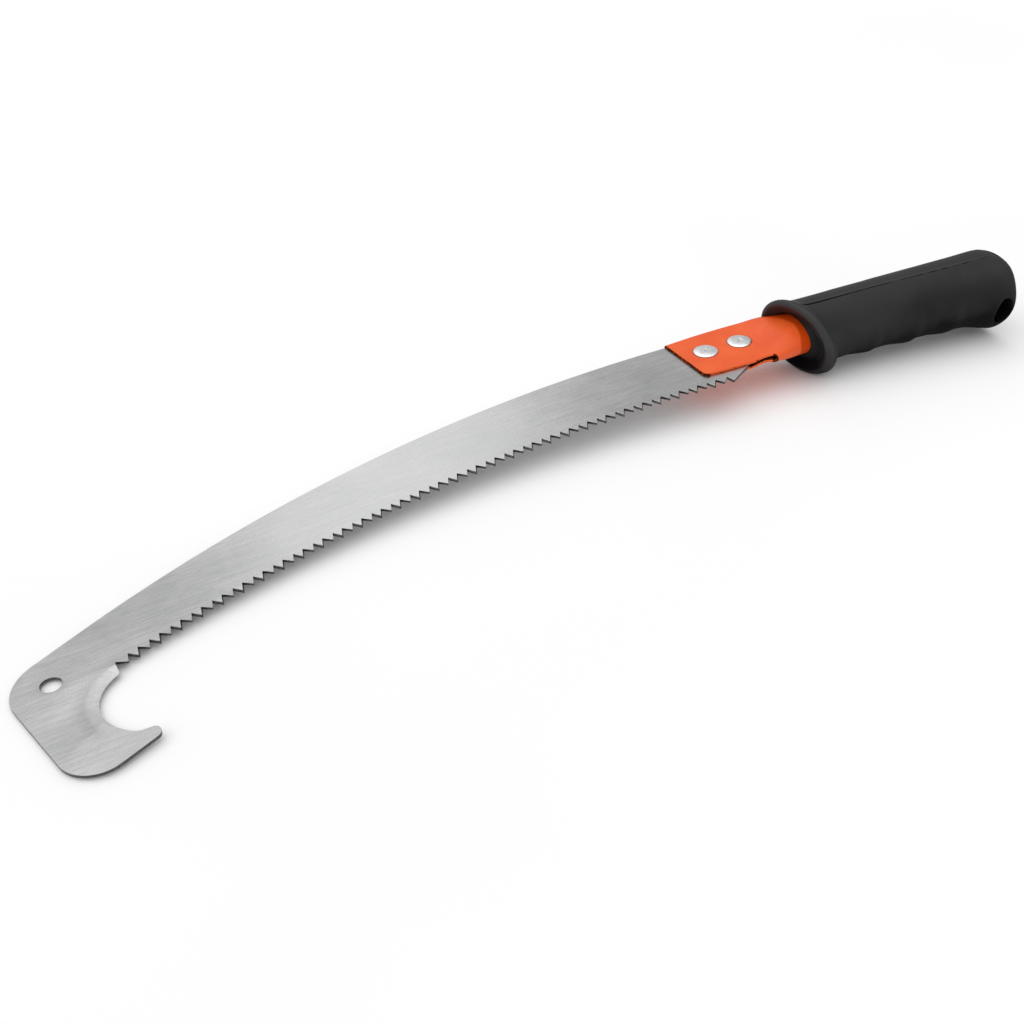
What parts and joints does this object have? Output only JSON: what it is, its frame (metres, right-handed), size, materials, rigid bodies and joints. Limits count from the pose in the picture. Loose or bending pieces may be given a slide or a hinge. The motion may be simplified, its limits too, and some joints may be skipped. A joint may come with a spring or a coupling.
{
  "type": "pruning saw",
  "caption": "Fixed pruning saw: curved toothed steel blade ending in a cutting hook with a hang hole, riveted into a flattened painted steel tube with a moulded rubber grip.",
  "frame": {"origin": "centre of the socket tube's rear mouth, on the tube's axis", "axes": "+X along the handle out of its rear end (the blade points to -X), -Y to the side the teeth are on, +Z normal to the blade on the side of the rivet heads; blade mid-plane is Z = 0"},
  "size_m": [0.5504, 0.1698, 0.0473],
  "materials": {
    "blade_steel": "satin ground steel, faint rolling lines",
    "orange_paint": "semi-gloss orange powder paint",
    "zinc_plate": "bright zinc plate",
    "black_rubber": "semi-matt moulded rubber"
  },
  "bodies": {
    "root": {"blade": "blade_steel", "socket_tube": "orange_paint", "rivet_front": "zinc_plate", "rivet_rear": "zinc_plate", "grip": "black_rubber"}
  },
  "joints": []
}
